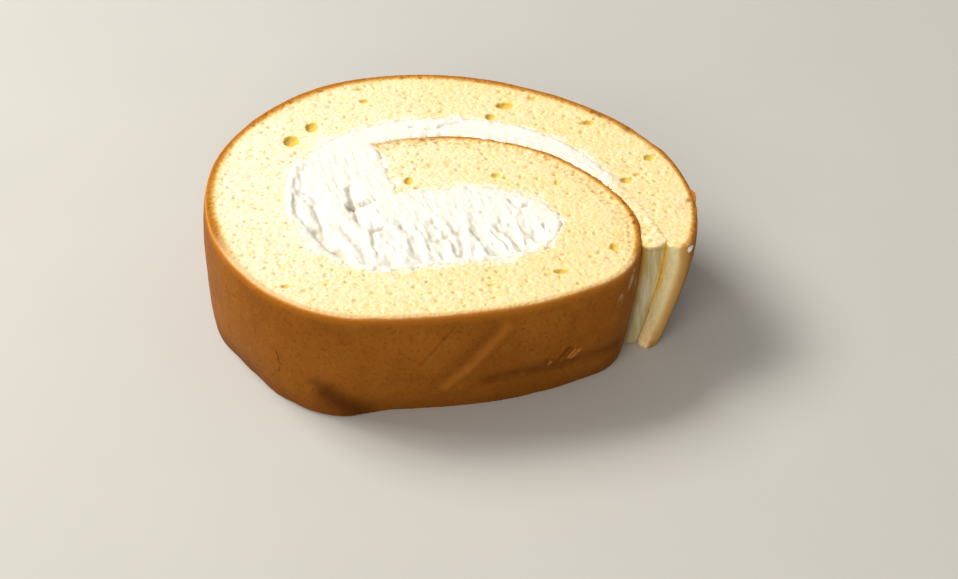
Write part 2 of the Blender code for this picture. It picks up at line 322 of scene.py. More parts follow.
def surface_of(piece, faces):
    """These faces of a piece, ready to be measured to."""
    points = [vertex.co.copy() for vertex in piece.data.vertices]
    return BVHTree.FromPolygons(points, [tuple(face.vertices) for face in faces])


def distances(surface, points):
    return np.array([surface.find_nearest(point)[3] for point in points])


def distances_to_path(points, path):
    """Distance of every point from a line through these places, in the plan or in space."""
    nearest = np.full(len(points), np.inf)
    path = np.asarray(path)
    rows = points[:, :path.shape[1]]
    for start, end in zip(path, path[1:]):
        run = end - start
        share = np.clip((rows - start) @ run / (run @ run), 0.0, 1.0)
        nearest = np.minimum(nearest, np.linalg.norm(rows - start - share[:, None] * run, axis=1))
    return nearest


# Places on the solid

def wall_faces(piece):
    """The upright faces, but for the sides of the bubbles: a wall goes on down below its upper edge."""
    upright = [face for face in piece.data.polygons if abs(face.normal.z) < 0.7]
    lower = [face for face in upright if face.center.z < TRUNK_HEIGHT]
    trunk = surface_of(piece, lower)

    def stands_on_trunk(face):
        away = distances(trunk, [(face.center.x, face.center.y, TRUNK_HEIGHT)])[0]
        return away < TRUNK_DRIFT and bubbles_at(np.array([face.center]))[0] < 0.1

    return lower + [face for face in upright if face.center.z >= TRUNK_HEIGHT and stands_on_trunk(face)]


def skin_faces(walls):
    """The browned side of the sheet faces away from the middle of the roll."""
    def way_out(face):
        arm = face.center - ROLL_CENTRE
        arm.z = 0.0
        return face.normal.dot(arm.normalized())

    return [face for face in walls if way_out(face) > 0.6]


def on_skin(skin, rolled_deg, level):
    """The place on the outer skin at this angle of roll and level, and the way out from it."""
    direction = math.radians(START_DEG - rolled_deg)
    outward = Vector((math.cos(direction), math.sin(direction), 0.0))
    far = ROLL_CENTRE + outward * FAR_OFF
    far.z = level * THICKNESS
    place, normal = skin.ray_cast(far, -outward)[:2]
    return place, normal


def past(points, corner):
    """1 past the corner, in the place that only the outer end of the roll reaches, and 0 elsewhere."""
    return blend(points[:, 0], *corner[0]) * blend(points[:, 1], *corner[1])


# Materials

class Finish:
    """A material, and short calls that add and join its nodes. Sizes are in mm."""

    def __init__(self, name):
        self.made = bpy.data.materials.new(name)
        self.made.use_nodes = True
        self.tree = self.made.node_tree
        self.shader = self.tree.nodes["Principled BSDF"]
        self.place = self.add("ShaderNodeTexCoord").outputs["Object"]

    def add(self, kind, **settings):
        node = self.tree.nodes.new(kind)
        for name, value in settings.items():
            setattr(node, name, value)
        return node

    def feed(self, socket, value):
        """Joins a socket to an output, or sets it to a number or colour."""
        if isinstance(value, bpy.types.NodeSocket):
            self.tree.links.new(value, socket)
        elif isinstance(value, tuple) and len(value) == 3 and len(socket.default_value) == 4:
            socket.default_value = (*value, 1.0)
        else:
            socket.default_value = value

    def attribute(self, name):
        return self.add("ShaderNodeAttribute", attribute_name=name).outputs["Fac"]

    def along(self, axis):
        """Place along X, Y or Z, in metres."""
        node = self.add("ShaderNodeSeparateXYZ")
        self.feed(node.inputs[0], self.place)
        return node.outputs[axis]

    def stretched(self, scale):
        node = self.add("ShaderNodeMapping", vector_type="POINT")
        self.feed(node.inputs["Vector"], self.place)
        node.inputs["Scale"].default_value = scale
        return node.outputs["Vector"]

    def noise(self, size, detail=2.0, roughness=0.5, stretch=None):
        node = self.add("ShaderNodeTexNoise")
        self.feed(node.inputs["Vector"], self.stretched(stretch) if stretch else self.place)
        node.inputs["Scale"].default_value = 1.0 / (size * MM)
        node.inputs["Detail"].default_value = detail
        node.inputs["Roughness"].default_value = roughness
        return node.outputs["Fac"]

    def cells(self, size, stretch=None):
        """Distance from the middle of the nearest cell: 0 there, about 0.5 at its edge."""
        node = self.add("ShaderNodeTexVoronoi")
        self.feed(node.inputs["Vector"], self.stretched(stretch) if stretch else self.place)
        node.inputs["Scale"].default_value = 1.0 / (size * MM)
        return node.outputs["Distance"]

    def math(self, operation, first, second=0.0):
        node = self.add("ShaderNodeMath", operation=operation)
        self.feed(node.inputs[0], first)
        self.feed(node.inputs[1], second)
        return node.outputs[0]

    def product(self, first, *others):
        for other in others:
            first = self.math("MULTIPLY", first, other)
        return first

    def span(self, value, low, high, at_low=0.0, at_high=1.0):
        """Turns low into at_low and high into at_high, smoothly and no further."""
        node = self.add("ShaderNodeMapRange", interpolation_type="SMOOTHSTEP")
        for socket, given in zip(node.inputs, (value, low, high, at_low, at_high)):
            self.feed(socket, given)
        return node.outputs[0]

    def wobble(self, value, size, reach):
        """The value, a little more here and a little less there."""
        drift = self.math("SUBTRACT", self.noise(size, 3.0, 0.6), 0.5)
        return self.math("ADD", value, self.product(drift, 2.0 * reach))

    def mix(self, share, first, second):
        """The first colour where the share is 0, and the second where it is 1."""
        node = self.add("ShaderNodeMix", data_type="RGBA")
        self.feed(node.inputs["Factor"], share)
        self.feed(node.inputs[6], first)
        self.feed(node.inputs[7], second)
        return node.outputs[2]

    def colours(self, value, *stops):
        """A row of colours, each at its own value between 0 and 1."""
        node = self.add("ShaderNodeValToRGB")
        self.feed(node.inputs[0], value)
        marks = node.color_ramp.elements
        while len(marks) < len(stops):
            marks.new(1.0)
        for mark, (position, colour) in zip(marks, stops):
            mark.position, mark.color = position, (*colour, 1.0)
        return node.outputs["Color"]

    def bump(self, height, depth):
        node = self.add("ShaderNodeBump")
        node.inputs["Distance"].default_value = depth * MM
        self.feed(node.inputs["Height"], height)
        return node.outputs["Normal"]

    def set(self, **sockets):
        """Joins or sets the shader's own sockets, named with _ for each space."""
        for name, value in sockets.items():
            self.feed(self.shader.inputs[name.replace("_", " ")], value)


def crumb_colour(look, pit, coarse, smooth, painted_lamp_falloff):
    """Pale crumb with small golden pores. Returns its colour and the height of its grain."""
    density = look.span(look.noise(5.0, 2.0), 0.35, 0.65, 0.25, 1.0)
    honeycomb = look.cells(1.0, stretch=(1.0, 1.1, 1.0))
    dots = look.cells(1.7)
    rough = look.math("SUBTRACT", 1.0, smooth)
    # Painted light: the crumb is paler towards the lamp on the left and warmer away from it, with a
    # random wobble of tone
    crumb = look.mix(look.wobble(painted_lamp_falloff, 9.0, 0.35), PALE_AND_LAMPLIT_CRUMB, WARM_CRUMB)
    small = look.span(honeycomb, 0.10, 0.38, 0.95, 0.0)
    crumb = look.mix(look.product(small, density, rough), crumb, PORE_AND_PAINTED_PIT_SHADE)
    patches = look.span(look.noise(1.4, 2.0, 0.5), 0.53, 0.66, 0.0, 0.6)
    crumb = look.mix(look.product(patches, density, rough), crumb, PORE_AND_PAINTED_PIT_SHADE)
    crumb = look.mix(look.product(look.span(dots, 0.10, 0.22, 0.8, 0.0), rough), crumb, DEEP_PORE)
    # Painted shade with a golden glow in the pits, by their depth below the cut
    crumb = look.mix(look.span(pit, 0.10, 0.6, 0.0, 0.85), crumb, PORE_AND_PAINTED_PIT_SHADE)
    holes = look.product(look.span(look.noise(1.0, 2.0, 0.6), 0.52, 0.60, 0.0, 0.9), coarse)
    crumb = look.mix(holes, crumb, TORN_PORE)
    height = look.math("ADD", honeycomb, look.product(look.noise(0.5, 3.0, 0.7), 0.35))
    return crumb, height


def sponge_crumb(look, end):
    """The cut faces: crumb, the cream smeared on it, the sheet's cut end and the browned rim."""
    skin = look.attribute("skin_mm")
    cream = look.attribute("cream_mm")
    stained = look.attribute("stained")
    # The last of these is painted lamplight: 0 by the lamp on the left, where the crumb is painted paler
    pits, torn, painted_lamp_falloff = look.attribute("pit_mm"), look.attribute("coarse"), look.attribute("painted_lamp_falloff")
    crumb, grain = crumb_colour(look, pits, torn, end, painted_lamp_falloff)

    crumb = look.mix(look.product(end, 0.75), crumb, SMOOTH_CUT)
    low = look.span(look.along("Z"), 0.0, 13.0 * MM, 0.55, 0.0)
    crumb = look.mix(look.product(low, end), crumb, SHADED_CUT)
    high = look.span(look.along("Z"), 4.0 * MM, 16.0 * MM)
    # Painted light: a golden glow in the shaded groove between the two lobes at the tail
    groove = look.span(cream, 0.8, 2.4, 0.9, 0.0)
    crumb = look.mix(look.product(groove, end, high), crumb, PAINTED_GOLDEN_GROOVE_GLOW)

    # Painted light: a golden glow inside the bubbles, as of light through the crumb
    crumb = look.mix(look.attribute("bubble"), crumb, PAINTED_BUBBLE_GLOW)
    smear = look.wobble(look.wobble(cream, 5.0, 5.5), 1.3, 3.0)
    smear = look.math("ADD", smear, look.product(look.attribute("beyond"), 12.0))
    crumb = look.mix(look.span(smear, -0.6, 2.0, 0.85, 0.0), crumb, SPREAD_CREAM)
    near = look.span(skin, 0.6, 2.6, 0.6, 0.0)
    crumb = look.mix(look.product(near, stained), crumb, STAINED_CRUMB)

    rim = look.wobble(skin, 1.3, 0.3)
    band = look.colours(look.math("DIVIDE", rim, RIM_WIDTH_MM), *RIM_COLOURS)
    crumb = look.mix(look.product(look.span(rim, 0.8, 1.5, 1.0, 0.0), stained), crumb, band)
    specks = look.span(look.noise(0.6, 2.0, 0.6), 0.59, 0.67)
    specks = look.product(specks, look.span(rim, 0.4, 1.0, 0.8, 0.0))
    crumb = look.mix(look.product(specks, stained, stained), crumb, BURNT_SPECK)
    return look.mix(look.product(look.attribute("spot"), 0.85), crumb, BURNT_SPOT), grain


def sponge_skin(look):
    """The browned skin: uneven in colour, in painted shade darker at the foot, lighter at the cut, with
    its marks.
    """
    height = look.along("Z")
    patches = look.span(look.noise(16.0, 3.0, 0.6), 0.35, 0.65)
    freckles = look.span(look.noise(0.8, 3.0, 0.7), 0.5, 0.7, 0.0, 0.5)
    blotches = look.span(look.noise(2.6, 3.0, 0.6), 0.55, 0.75, 0.0, 0.25)
    near_cut = look.span(height, THICKNESS - 2.4 * MM, THICKNESS - 0.4 * MM, 0.0, 0.8)
    at_cut = look.span(height, THICKNESS - 0.9 * MM, THICKNESS - 0.1 * MM, 0.0, 0.85)
    smudge = look.product(look.attribute("smudge"), look.span(look.noise(0.9, 3.0, 0.7), 0.38, 0.55))
    layers = (
        (freckles, DARK_BAKED_AND_FOOT_SHADE),
        (blotches, GOLDEN_BAKED),
        # Painted shade: the skin darker towards the foot
        (look.span(height, 0.0, 6.0 * MM, 0.5, 0.0), DARK_BAKED_AND_FOOT_SHADE),
        (near_cut, SKIN_NEAR_CUT),
        (at_cut, SKIN_AT_CUT),
        # The marks: real cracks and slits, and painted shade beside the ridge, in the crease and along
        # the dent
        (look.attribute("mark"), CRACK_AND_PAINTED_SHADE),
        # Painted highlight along the ridge
        (look.attribute("ridge"), PAINTED_RIDGE_HIGHLIGHT),
        (smudge, SMUDGED_SKIN),
        (look.span(look.attribute("browning"), 0.0, 1.0, 1.0, 0.0), UNBROWNED_SKIN),
    )
    baked = look.mix(patches, BAKED, WELL_BAKED)
    for share, colour in layers:
        baked = look.mix(share, baked, colour)
    return baked


def sponge_finish():
    """Pale crumb full of small pores, and a browned skin that stains the crumb's outer millimetre."""
    look = Finish("sponge crumb and baked skin")
    wall = look.attribute("wall")
    crumb, grain = sponge_crumb(look, look.attribute("end"))
    colour = look.mix(wall, crumb, sponge_skin(look))
    normal = look.add("ShaderNodeMix", data_type="VECTOR")
    look.feed(normal.inputs["Factor"], wall)
    look.feed(normal.inputs[4], look.bump(grain, 0.2))
    look.feed(normal.inputs[5], look.bump(look.noise(0.7, 3.0, 0.6), 0.16))
    look.set(Base_Color=colour, Roughness=look.span(wall, 0.0, 1.0, 0.9, 0.5), Normal=normal.outputs[1])
    look.set(Subsurface_Weight=0.3, Subsurface_Radius=(1.0, 0.6, 0.25), Subsurface_Scale=1.0 * MM)
    look.set(Specular_IOR_Level=0.035)
    return look.made


def crumbed_cream(look, sunk, edge, wall):
    """The crumb that covers the cream at the strip's end, streaked on the wall; the wall is dark with
    painted shade, darker still to the foot.

    Returned with it is the plain crumb that is rubbed on to the cream's edge elsewhere.
    """
    upper = look.math("SUBTRACT", 1.0, wall)
    plain, _ = crumb_colour(look, look.product(sunk, upper), look.product(upper, 0.6), wall, 0.8)
    # Painted shade: the cream's end wall is dark, as it lies in shade beside the sponge
    crumb = look.mix(look.product(wall, 0.9), plain, CRUMBED_CREAM_IN_PAINTED_SHADE)
    high = look.span(look.along("Z"), 4.0 * MM, 16.0 * MM)
    # Painted light: a golden glow in the shaded groove between the two lobes at the tail
    groove = look.span(edge, 0.3, 1.6, 0.9, 0.0)
    crumb = look.mix(look.product(groove, wall, high), crumb, PAINTED_GOLDEN_GROOVE_GLOW)
    streaks = look.span(look.noise(1.2, 3.0, 0.6, stretch=(1.0, 1.0, 0.12)), 0.45, 0.7, 0.0, 0.35)
    crumb = look.mix(look.product(streaks, wall), crumb, SPREAD_CREAM)
    low = look.span(look.along("Z"), 0.0, 13.0 * MM, 0.55, 0.0)
    return look.mix(look.product(low, wall), crumb, SHADED_CUT), plain


def cream_finish():
    """Whipped cream: nearly white, soft and a little glossy, with painted shade that makes it greyer
    where it sinks.
    """
    look = Finish("whipped cream")
    sunk = look.attribute("sunk_mm")
    edge = look.attribute("edge_mm")
    end = look.attribute("end")
    wall = look.attribute("wall")
    at_end, plain = crumbed_cream(look, sunk, edge, wall)
    tone = look.mix(look.noise(6.0, 3.0), WHITE_CREAM, SOFT_CREAM)
    # Painted shade: greyer the deeper the cream lies below the cut
    tone = look.mix(look.span(sunk, 0.05, 1.2), tone, PAINTED_SHADE_IN_CREAM_HOLLOWS)
    rubbed = look.math("SUBTRACT", look.noise(0.9, 3.0, 0.6), look.product(edge, 0.35))
    tone = look.mix(look.span(rubbed, 0.36, 0.46, 0.0, 0.75), tone, plain)
    tone = look.mix(end, tone, at_end)
    whipped = look.math("SUBTRACT", 1.0, look.product(end, wall, 0.8))
    curds = look.bump(look.product(look.noise(0.9, 4.0, 0.65), whipped), 0.2)
    look.set(Base_Color=tone, Roughness=look.span(end, 0.0, 1.0, 0.45, 0.75), Normal=curds)
    look.set(Subsurface_Weight=0.25, Subsurface_Radius=(1.0, 0.9, 0.7), Subsurface_Scale=1.2 * MM)
    look.set(Specular_IOR_Level=0.4)
    return look.made


def floor_finish():
    look = Finish("pale board")
    look.set(Base_Color=look.mix(look.noise(40.0, 3.0), *BOARD_TONES), Roughness=0.8)
    return look.made


# The rolled sponge

def bubble_shapes():
    """A flattened ball for every bubble, half sunk in the upper cut face, all in one piece."""
    balls = []
    for x, y, wide, deep in BUBBLES_MM:
        bpy.ops.mesh.primitive_ico_sphere_add(subdivisions=3, radius=1.0)
        ball = bpy.context.object
        sunk = BUBBLE_SINK * (wide + deep) / 2.0
        shape = Matrix.Diagonal((wide / 2.0 * MM, deep / 2.0 * MM, sunk * MM, 1.0))
        ball.data.transform(Matrix.Translation((x * MM, y * MM, THICKNESS)) @ shape)
        balls.append(ball)
    select_only(*balls)
    bpy.ops.object.join()
    return bpy.context.object


def open_bubbles(piece):
    balls = bubble_shapes()
    apply_modifier(piece, "BOOLEAN", operation="DIFFERENCE", solver="EXACT", object=balls)
    bpy.data.objects.remove(balls)


def bubbles_at(points):
    """Up to 1 inside a bubble, less in the smallest ones, and 0 outside, seen from above."""
    inside = np.zeros(len(points))
    for x, y, wide, deep in (*SOLID_BUBBLES_MM, *BUBBLES_MM):
        across = (points[:, 0] - x * MM) / (wide * MM)
        along = (points[:, 1] - y * MM) / (deep * MM)
        strength = min(1.0, 0.3 + 0.15 * (wide + deep))
        inside = np.maximum(inside, blend(2.0 * np.hypot(across, along), 1.12, 0.85) * strength)
    return inside


def make_bubbles_shallow(piece, from_wall):
    """Raises all that lies just below the cut, in a bubble or away from the walls."""
    points = points_of(piece)
    depth = THICKNESS - points[:, 2]
    in_bubble = np.maximum(blend(from_wall, 0.2 * MM, 0.5 * MM), bubbles_at(points))
    points[:, 2] += BUBBLE_RISE * in_bubble * (depth < BUBBLE_REACH) * depth
    put_points(piece, points)


def pore_texture(name, size, open_share):
    """Round pits of about this size: black in their middle, white between them."""
    texture = bpy.data.textures.new(name, "VORONOI")
    texture.noise_scale = size * MM
    texture.use_color_ramp = True
    stops = texture.color_ramp.elements
    stops[0].position, stops[0].color = 0.4 * open_share, (0.0, 0.0, 0.0, 1.0)
    stops[1].position, stops[1].color = open_share, (1.0, 1.0, 1.0, 1.0)
    return texture


def cloud_texture(name, size):
    texture = bpy.data.textures.new(name, "CLOUDS")
    texture.noise_scale = size * MM
    return texture


def press_in(piece, texture, depth, group, level=1.0):
    """Sinks the piece's surface where the texture is dark."""
    apply_modifier(
        piece, "DISPLACE", texture=texture, texture_coords="LOCAL", direction="NORMAL",
        mid_level=level, strength=depth * MM, vertex_group=group,
    )


def ease_rims(piece, from_skin):
    """Takes the sharpness off the rims between the cut faces and the skin."""
    points = points_of(piece)
    from_cut = np.minimum(abs(points[:, 2]), abs(points[:, 2] - THICKNESS))
    near = blend(np.maximum(from_cut, from_skin), 1.1 * MM, 0.5 * MM)
    apply_modifier(piece, "SMOOTH", factor=0.5, iterations=7, vertex_group=group_of(piece, "rims", near))


def open_pores(piece, from_wall, coarse):
    """The knife leaves small pores open all over the cut faces. The crumb by the skin is dense."""
    points = points_of(piece)
    upper = blend(points[:, 2], THICKNESS - 0.25 * MM, THICKNESS - 0.1 * MM)
    lower = blend(points[:, 2], 0.25 * MM, 0.1 * MM)
    inside = blend(from_wall, 0.5 * MM, 2.0 * MM)
    pores = group_of(piece, "pores", (upper + 0.3 * lower) * inside)
    torn = group_of(piece, "torn", upper * inside * coarse)
    press_in(piece, pore_texture("coarse pores", 2.0, 0.27), 0.5, pores)
    press_in(piece, pore_texture("fine pores", 1.2, 0.32), 0.22, pores)
    press_in(piece, cloud_texture("torn crumb", 0.9), 0.9, torn, 0.7)


def mark_skin(piece, skin, from_skin):
    """Gentle unevenness all over the skin, with its cracks, its dent and the crease above the foot."""
    group = group_of(piece, "skin", blend(from_skin, 0.3 * MM, 0.1 * MM))
    press_in(piece, cloud_texture("skin waves", 13.0), 0.7, group, 0.5)
    points, normals = points_of(piece), points_of(piece, "normal")
    for half_width, depth, _, places in (*SKIN_MARKS, SKIN_RIDGE):
        path = [on_skin(skin, *place)[0] for place in places]
        off = distances_to_path(points, path) / (half_width * MM)
        points -= normals * (depth * MM * np.exp(-off * off))[:, None]
    put_points(piece, points)


def strength_at(points, skin, marks):
    """How strongly these marks in the skin colour every point."""
    darkness = np.zeros(len(points))
    for half_width, _, dark, places in marks:
        path = [on_skin(skin, *place)[0] for place in places]
        off = distances_to_path(points, path) / (half_width * MM)
        darkness = np.maximum(darkness, dark * np.exp(-off * off))
    return darkness


def spots_at(points):
    """How strongly the dark spots colour every point."""
    darkness = np.zeros(len(points))
    for x, y, radius in SPOTS_MM:
        off = np.hypot(points[:, 0] - x * MM, points[:, 1] - y * MM) / (radius * MM)
        darkness = np.maximum(darkness, np.exp(-off ** 4.0))
    return darkness


def near_skin(points, skin, cream):
    """How far every point is under its own skin, how far the cream covers that, and where along X it is.

    A point that lies outside the nearest skin belongs to the next turn, and counts as far from any.
    """
    found = [skin.find_nearest(point) for point in points]
    places = np.array([place for place, _, _, _ in found])
    outward = np.array([normal for _, normal, _, _ in found])
    outside = ((points - places) * outward).sum(axis=1) > 0.6 * MM
    away = np.where(outside, 1.0, np.array([length for _, _, _, length in found]))
    return away, blend(distances(cream, places), 8.0 * MM, 1.0 * MM), places[:, 0]


def shape_sponge(piece, walls, skin, cream):
    """Opens the bubbles and pores in the rounded solid, eases its rims and marks its skin."""
    open_bubbles(piece)
    apply_modifier(piece, "REMESH", mode="VOXEL", voxel_size=GRAIN, adaptivity=0.0)
    points = points_of(piece)
    make_bubbles_shallow(piece, distances(walls, points))
    from_skin, covered, _ = near_skin(points, skin, cream)
    ease_rims(piece, from_skin)
    open_pores(piece, distances(walls, points), covered * blend(from_skin, 6.0 * MM, 1.5 * MM))
    mark_skin(piece, skin, from_skin)
    thin_out(piece)
    keep_within(piece)


def measure_skin(piece, points, from_skin, covered, x):
    """Where the skin is, how wide and how strong its brown rim is, and how well it is browned."""
    upright = blend(abs(points_of(piece, "normal")[:, 2]), 0.85, 0.55)
    upright = np.maximum(upright, blend(points[:, 2], 1.0 * MM, 0.4 * MM))
    last = past(points, SHEET_END)
    back = blend(points[:, 1], 0.0, 30.0 * MM)
    left = blend(points[:, 0], -28.0 * MM, -44.0 * MM)
    front = blend(points[:, 1], -14.0 * MM, -28.0 * MM) * (1.0 - covered)
    widened = np.maximum(0.5 * np.maximum(back, 0.75 * left) * (1.0 - covered), 0.2 * covered)
    inner_stain = 0.55 + 0.45 * blend(x, -12.0 * MM, 0.0)
    stained = covered * inner_stain + (1.0 - covered) * (1.0 - 0.6 * front)
    record(piece, "wall", upright * blend(from_skin, (1.3 + 0.7 * last) * MM, (0.9 - 0.8 * last) * MM))
    record(piece, "skin_mm", from_skin * (1.0 - widened) / MM)
    record(piece, "stained", stained * (1.0 - 0.6 * last))
    record(piece, "browning", 1.0 - 0.7 * last - 0.7 * covered * blend(x, 6.0 * MM, -10.0 * MM))


def measure_sponge(piece, walls, skin, cream):
    """Everything that the sponge's material reads."""
    points = points_of(piece)
    from_skin, covered, x = near_skin(points, skin, cream)
    from_wall = distances(walls, points)
    from_cut = np.minimum(points[:, 2], THICKNESS - points[:, 2])
    measure_skin(piece, points, from_skin, covered, x)
    from_left = np.hypot(points[:, 0] + 45.0 * MM, points[:, 1])
    on_wall = blend(from_wall, 0.5 * MM, 0.2 * MM)
    off_rim = blend(from_cut, 0.2 * MM, 0.6 * MM)
    near_top = blend(points[:, 2], THICKNESS - BUBBLE_REACH, THICKNESS - 2.0 * MM)
    # Painted light: 0 by the lamp on the left, where the crumb is painted paler, and 1 far from it
    record(piece, "painted_lamp_falloff", blend(from_left, 5.0 * MM, 75.0 * MM))
    record(piece, "beyond", past(points, STRIP_END))
    record(piece, "spot", spots_at(points) * blend(from_skin, 2.2 * MM, 1.2 * MM))
    record(piece, "cream_mm", distances(cream, points) / MM)
    # Depth below the cut, which the material paints as shade with a golden glow in the pits
    record(piece, "pit_mm", blend(from_wall, 0.2 * MM, 0.6 * MM) * from_cut / MM)
    record(piece, "coarse", covered * blend(from_skin, 6.0 * MM, 1.5 * MM))
    record(piece, "end", past(points, TAIL) * on_wall * off_rim)
    record(piece, "mark", strength_at(points, skin, SKIN_MARKS))
    # Painted highlight: how strongly the ridge is painted lighter
    record(piece, "ridge", strength_at(points, skin, [SKIN_RIDGE]))
    record(piece, "smudge", strength_at(points, skin, SKIN_SMUDGES))
    # Where the bubbles are, for the golden glow painted in them
    record(piece, "bubble", bubbles_at(points) * near_top)


def make_sponge(cream_solid):
    """The rolled sponge, with its skin and all its walls, for other pieces to be placed against."""
    piece = copy_of("sponge", "rolled_sponge")
    crease_rims(piece, SHARP_DEG)
    apply_modifier(piece, "SUBSURF", levels=2, render_levels=2)
    upright = wall_faces(piece)
    walls = surface_of(piece, upright)
    skin = surface_of(piece, skin_faces(upright))
    cream = surface_of(cream_solid, cream_solid.data.polygons)
    shape_sponge(piece, walls, skin, cream)
    measure_sponge(piece, walls, skin, cream)
    piece.data.shade_smooth()
    piece.data.materials.append(sponge_finish())
    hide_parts("sponge")
    return piece, skin, walls


# The cream

def rough(points, along, across, seed=0.5):
    """Soft random heights from about -0.5 to 0.5, drawn out the way of the knife. Sizes are in mm."""
    heading = math.radians(DRAG_DEG)
    ahead = (points[:, 0] * math.cos(heading) + points[:, 1] * math.sin(heading)) / (along * MM)
    aside = (points[:, 1] * math.cos(heading) - points[:, 0] * math.sin(heading)) / (across * MM)
    return np.array([noise.noise((u, v, seed)) for u, v in zip(ahead.tolist(), aside.tolist())])


def spread_cream(piece):
    """Fills the cream out to the sponge on both sides, and past its edge at the cut."""
    points, normals = points_of(piece), points_of(piece, "normal")
    sides = 1.0 - blend(abs(normals[:, 2]), 0.5, 0.9)
    normals[:, 2] = 0.0
    upper = blend(points[:, 2], THICKNESS - 2.0 * MM, THICKNESS - 1.2 * MM)
    strip_end = past(points, STRIP_END)
    filled = 0.35 + 0.85 * upper + 0.45 * strip_end * (1.0 - upper)
    points += normals * (filled * MM * sides)[:, None]
    points[:, 2] += 0.4 * MM * blend(points[:, 2], 15.0 * MM, 23.0 * MM)
    put_points(piece, points)


def upper_face(piece, slope=0.6):
    """1 on the upper face and 0 lower down, or where the surface is steep."""
    upper = blend(points_of(piece)[:, 2], THICKNESS - 3.0 * MM, THICKNESS - 2.0 * MM)
    return upper * blend(points_of(piece, "normal")[:, 2], 0.2, slope)


def roughen_cream(piece):
    """Lumps that the knife dragged up at the front, fine grain, and pores at the strip's end."""
    strip_end = past(points_of(piece), STRIP_END)
    upper = upper_face(piece)
    pores = group_of(piece, "pores", upper * strip_end)
    press_in(piece, pore_texture("strip pores", 1.9, 0.25), 0.6, pores)
    points = points_of(piece)
    front = blend(points[:, 1], -9.0 * MM, -16.0 * MM) * blend(points[:, 0], -20.0 * MM, -12.0 * MM)
    behind, beside = blend(points[:, 1], 13.0 * MM, 17.0 * MM), blend(points[:, 0], 20.0 * MM, 24.0 * MM)
    strip = np.maximum(behind, beside)
    lumps = 0.55 * rough(points, 4.5, 1.9) + 0.4 * rough(points, 2.0, 1.0, seed=3.5)
    fine = 0.16 * rough(points, 4.0, 0.6, seed=7.5) + 0.14 * rough(points, 0.9, 0.9, seed=9.5)
    points[:, 2] += upper * (1.0 - strip_end) * MM * (front * lumps + (1.0 - 0.8 * strip) * fine)
    put_points(piece, points)


def into_sponge(points, walls):
    """How far every point has gone past the wall into the sponge, less than nothing short of it."""
    found = [walls.find_nearest(point) for point in points]
    offsets = points - np.array([place for place, _, _, _ in found])
    outward = np.array([normal for _, normal, _, _ in found])
    return -(offsets * outward).sum(axis=1)


def fill_seam(piece, walls, skin):
    """Brings the cream level with the cut along the sponge, and lets it dip under the crumb."""
    points = points_of(piece)
    strip_end = past(points, STRIP_END)
    near = upper_face(piece, 0.4) * blend(distances(walls, points), 1.9 * MM, 0.5 * MM)
    by_skin = blend(distances(skin, points), 1.6 * MM, 0.8 * MM)
    near *= 1.0 - strip_end * by_skin
    into = into_sponge(points, walls) - 0.3 * MM * (1.0 - by_skin)
    uneven = (0.5 * rough(points, 2.2, 2.2) + 0.2 * rough(points, 0.9, 0.9)) * (1.0 - strip_end)
    level = THICKNESS + (0.08 + np.maximum(uneven, -0.06)) * MM - 0.5 * np.maximum(into, 0.0)
    points[:, 2] += near * (level - points[:, 2])
    points[:, 2] = np.where(into > 0.0, np.minimum(points[:, 2], level), points[:, 2])
    put_points(piece, points)


def mark_cream(piece):
    """The furrows, ridges and holes in the upper face."""
    points = points_of(piece)
    upper = upper_face(piece) * (1.0 - past(points, STRIP_END))
    wandering = points.copy()
    wandering[:, 0] += 0.8 * MM * rough(points, 3.0, 3.0, seed=11.5)
    wandering[:, 1] += 0.8 * MM * rough(points, 3.0, 3.0, seed=13.5)
    for half_width, depth, places in CREAM_MARKS_MM:
        off = distances_to_path(wandering, np.array(places) * MM) / (half_width * MM)
        points[:, 2] -= upper * depth * MM * np.exp(-off * off)
    put_points(piece, points)


def make_cream(walls, skin):
    piece = copy_of("cream", "cream_filling")
    crease_rims(piece, SHARP_DEG)
    apply_modifier(piece, "SUBSURF", levels=2, render_levels=2)
    apply_modifier(piece, "REMESH", mode="VOXEL", voxel_size=GRAIN, adaptivity=0.0)
    spread_cream(piece)
    roughen_cream(piece)
    fill_seam(piece, walls, skin)
    mark_cream(piece)
    thin_out(piece)
    keep_within(piece)
    points = points_of(piece)
    record(piece, "sunk_mm", np.minimum(points[:, 2], THICKNESS - points[:, 2]) / MM)
    record(piece, "edge_mm", distances(walls, points) / MM)
    record(piece, "end", past(points, STRIP_END))
    record(piece, "wall", 1.0 - blend(abs(points_of(piece, "normal")[:, 2]), 0.4, 0.8))
    piece.data.shade_smooth()
    piece.data.materials.append(cream_finish())
    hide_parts("cream")
    return piece


# Small things on the wall and the rim

def wall_frame(place, normal, turn_deg):
    """Where a small piece lies on the wall: its Z points out, and its Y up and over by turn_deg."""
    side = Vector((0.0, 0.0, 1.0)).cross(normal).normalized()
    upright = normal.cross(side)
    turned = Matrix((side, upright, normal)).transposed().to_4x4()
    return Matrix.Translation(place) @ turned @ Matrix.Rotation(math.radians(turn_deg), 4, "Z")


